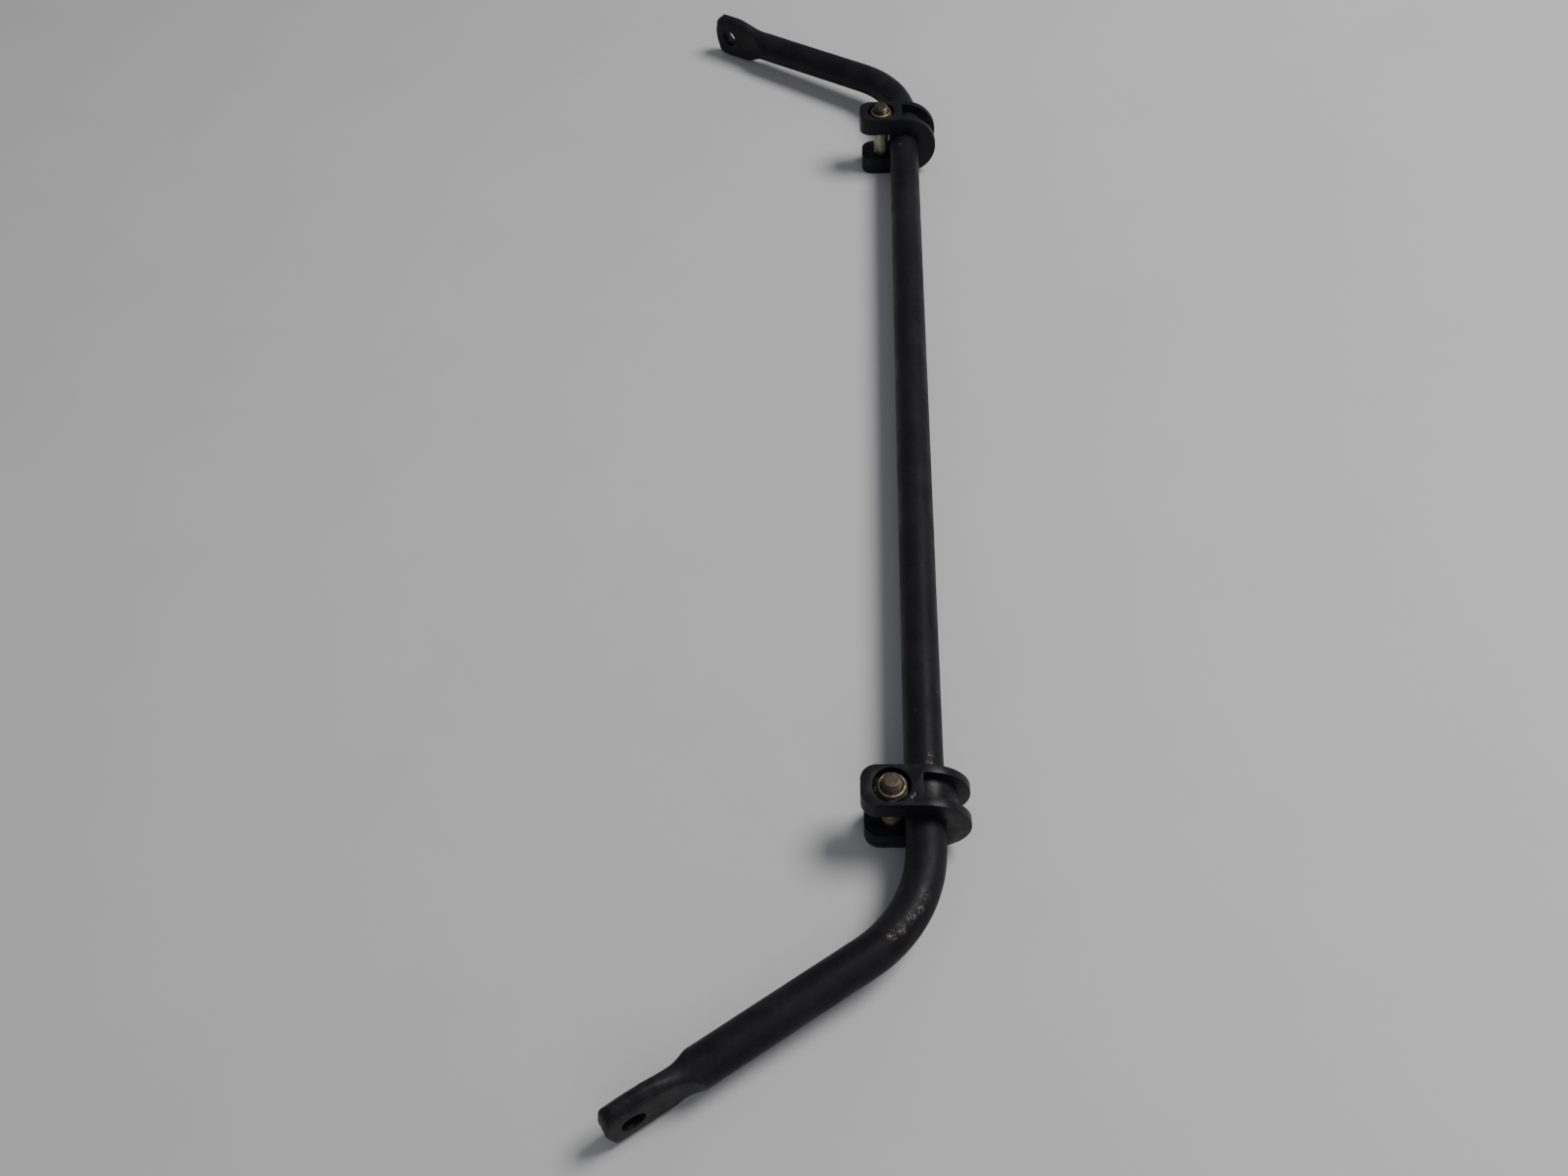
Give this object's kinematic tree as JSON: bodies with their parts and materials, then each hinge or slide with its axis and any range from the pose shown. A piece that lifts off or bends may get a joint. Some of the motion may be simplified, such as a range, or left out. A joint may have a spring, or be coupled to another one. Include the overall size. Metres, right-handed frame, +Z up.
{
  "type": "sway bar",
  "caption": "Bent round anti-roll bar with flattened, drilled ends for link bolts, carried in split grooved bushings that turn on the bar and close with a bolt and lock nut.",
  "frame": {"origin": "middle of the object's footprint, on the surface that the bushings and the paddles' lower edges rest on", "axes": "+X along the straight run of the bar, +Y away from the arms, towards the grooved noses of the bushings, +Z up"},
  "size_m": [0.8142, 0.16, 0.0469],
  "materials": {
    "bar_paint": "worn satin black paint on forged steel",
    "moulded_black": "satin black moulded polymer",
    "zinc_bolt": "dull zinc plate with rust stains",
    "zinc_nut": "yellow zinc plate, stained",
    "zinc_washer": "dull zinc plate, stained",
    "nylon": "dirty nylon"
  },
  "bodies": {
    "bar": {"sway_bar": "bar_paint"},
    "right_clamp": {"right_bushing": "moulded_black", "right_bolt": "zinc_bolt", "right_lock_nut": "zinc_nut", "right_nut_insert": "nylon", "right_nut_washer": "zinc_washer", "right_head_washer": "zinc_washer"},
    "left_clamp": {"left_bushing": "moulded_black", "left_bolt": "zinc_bolt", "left_lock_nut": "zinc_nut", "left_nut_insert": "nylon", "left_nut_washer": "zinc_washer", "left_head_washer": "zinc_washer"}
  },
  "joints": [
    {"name": "right_bushing_turn", "type": "hinge", "parent": "bar", "child": "right_clamp", "pos_m": [0.257, 0.05869, 0.0213], "axis": [1, 0, 0], "continuous": true},
    {"name": "left_bushing_turn", "type": "hinge", "parent": "bar", "child": "left_clamp", "pos_m": [-0.257, 0.05869, 0.0213], "axis": [1, 0, 0], "continuous": true}
  ]
}
